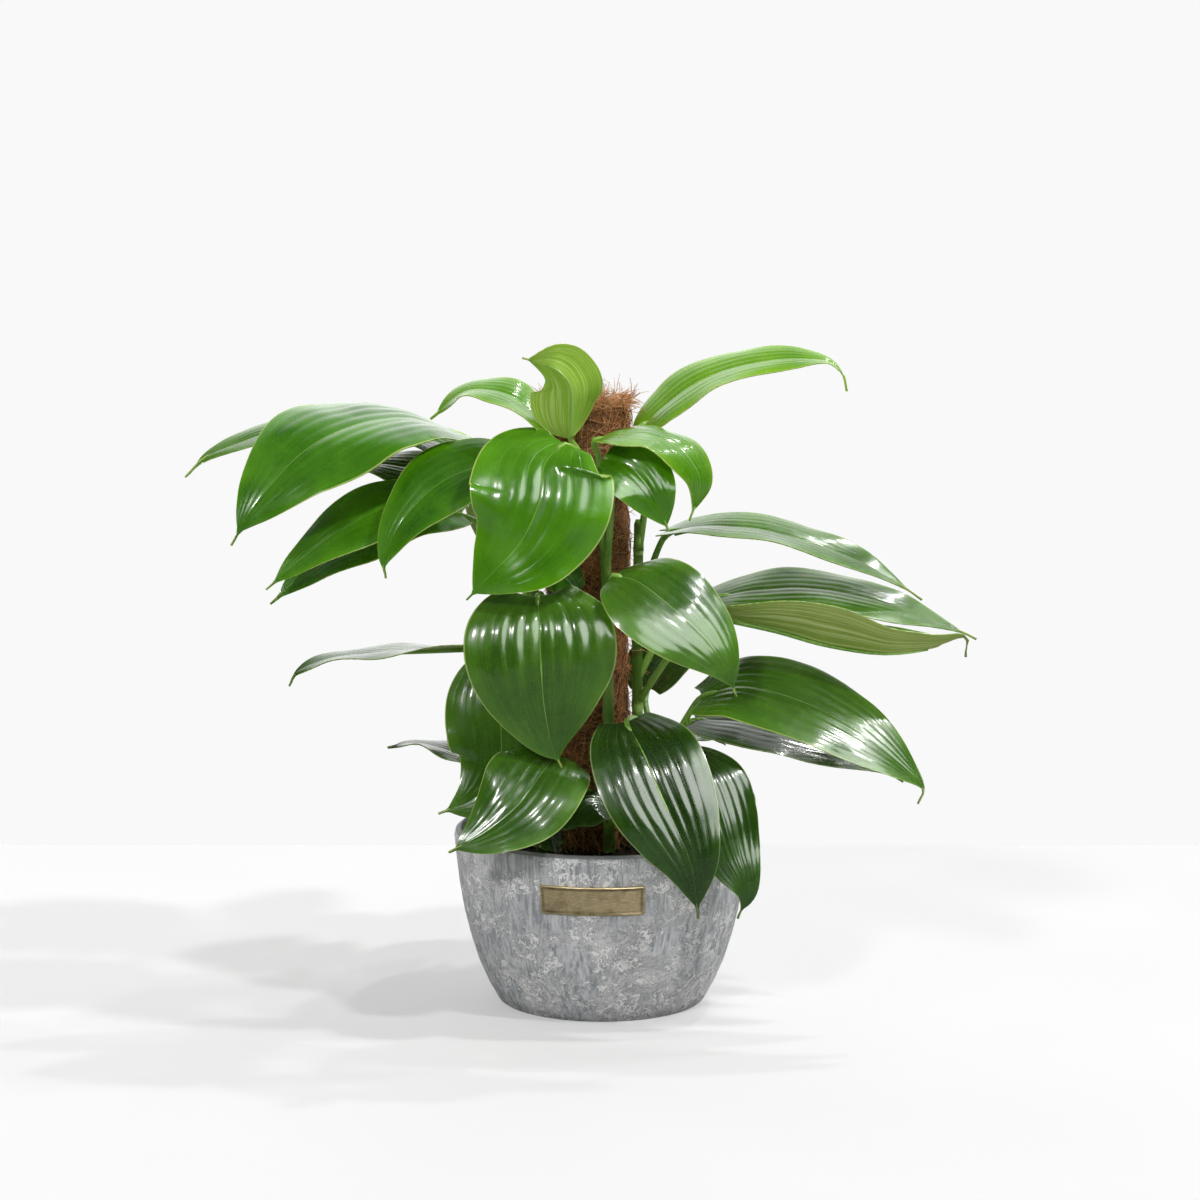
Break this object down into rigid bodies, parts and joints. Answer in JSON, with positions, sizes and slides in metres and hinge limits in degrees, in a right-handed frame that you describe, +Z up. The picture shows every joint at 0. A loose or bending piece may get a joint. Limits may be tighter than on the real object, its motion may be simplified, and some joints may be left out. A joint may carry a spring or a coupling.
{
  "type": "potted dragon tail philodendron",
  "caption": "Leafy climbing aroid on a coir pole, with drawn-out drooping leaves, standing in a round stone-grey bowl planter filled with soil.",
  "frame": {"origin": "centre of the pot's flat underside, on the surface it stands on", "axes": "+Z up along the pot and the pole, +X to the right and +Y away from someone facing the plate"},
  "size_m": [0.5327, 0.2866, 0.4514],
  "materials": {
    "pot": "matt grey cast-stone look with pale mineral wisps",
    "plate": "aged brushed brass, bare",
    "soil": "dark loose potting soil",
    "coir": "loose orange-brown coconut fibre",
    "core": "dark stake",
    "stem": "smooth green living stem",
    "leaf_young": "glossy yellow-green young leaf",
    "leaf_bright": "glossy fresh green leaf with a pale edge",
    "leaf_green": "glossy green leaf with a pale edge and rib",
    "leaf_dark": "glossy deep green older leaf"
  },
  "bodies": {
    "root": {"pot": "pot", "name_plate": "plate", "potting_soil": "soil", "coir_pole": "coir", "pole_core": "core", "stem_front": "stem", "stem_right": "stem", "stem_left": "stem", "stem_back": "stem", "stem_low_right": "stem", "stem_low_left": "stem", "leaf_01": "leaf_young", "leaf_02": "leaf_young", "leaf_03": "leaf_young", "leaf_04": "leaf_young", "leaf_05": "leaf_bright", "leaf_06": "leaf_bright", "leaf_07": "leaf_bright", "leaf_08": "leaf_bright", "leaf_09": "leaf_green", "leaf_10": "leaf_green", "leaf_11": "leaf_bright", "leaf_12": "leaf_bright", "leaf_13": "leaf_green", "leaf_14": "leaf_dark", "leaf_15": "leaf_green", "leaf_16": "leaf_green", "leaf_17": "leaf_green", "leaf_18": "leaf_green", "leaf_19": "leaf_dark", "leaf_20": "leaf_green", "leaf_21": "leaf_green", "leaf_22": "leaf_green", "leaf_23": "leaf_green", "leaf_24": "leaf_dark", "leaf_25": "leaf_dark", "leaf_26": "leaf_dark", "leaf_27": "leaf_dark", "leaf_28": "leaf_dark", "leaf_29": "leaf_dark", "leaf_30": "leaf_dark", "leaf_31": "leaf_bright", "leaf_32": "leaf_green", "leaf_33": "leaf_green", "leaf_34": "leaf_dark", "leaf_35": "leaf_green", "leaf_36": "leaf_green", "leaf_37": "leaf_dark", "leaf_38": "leaf_dark"}
  },
  "joints": []
}
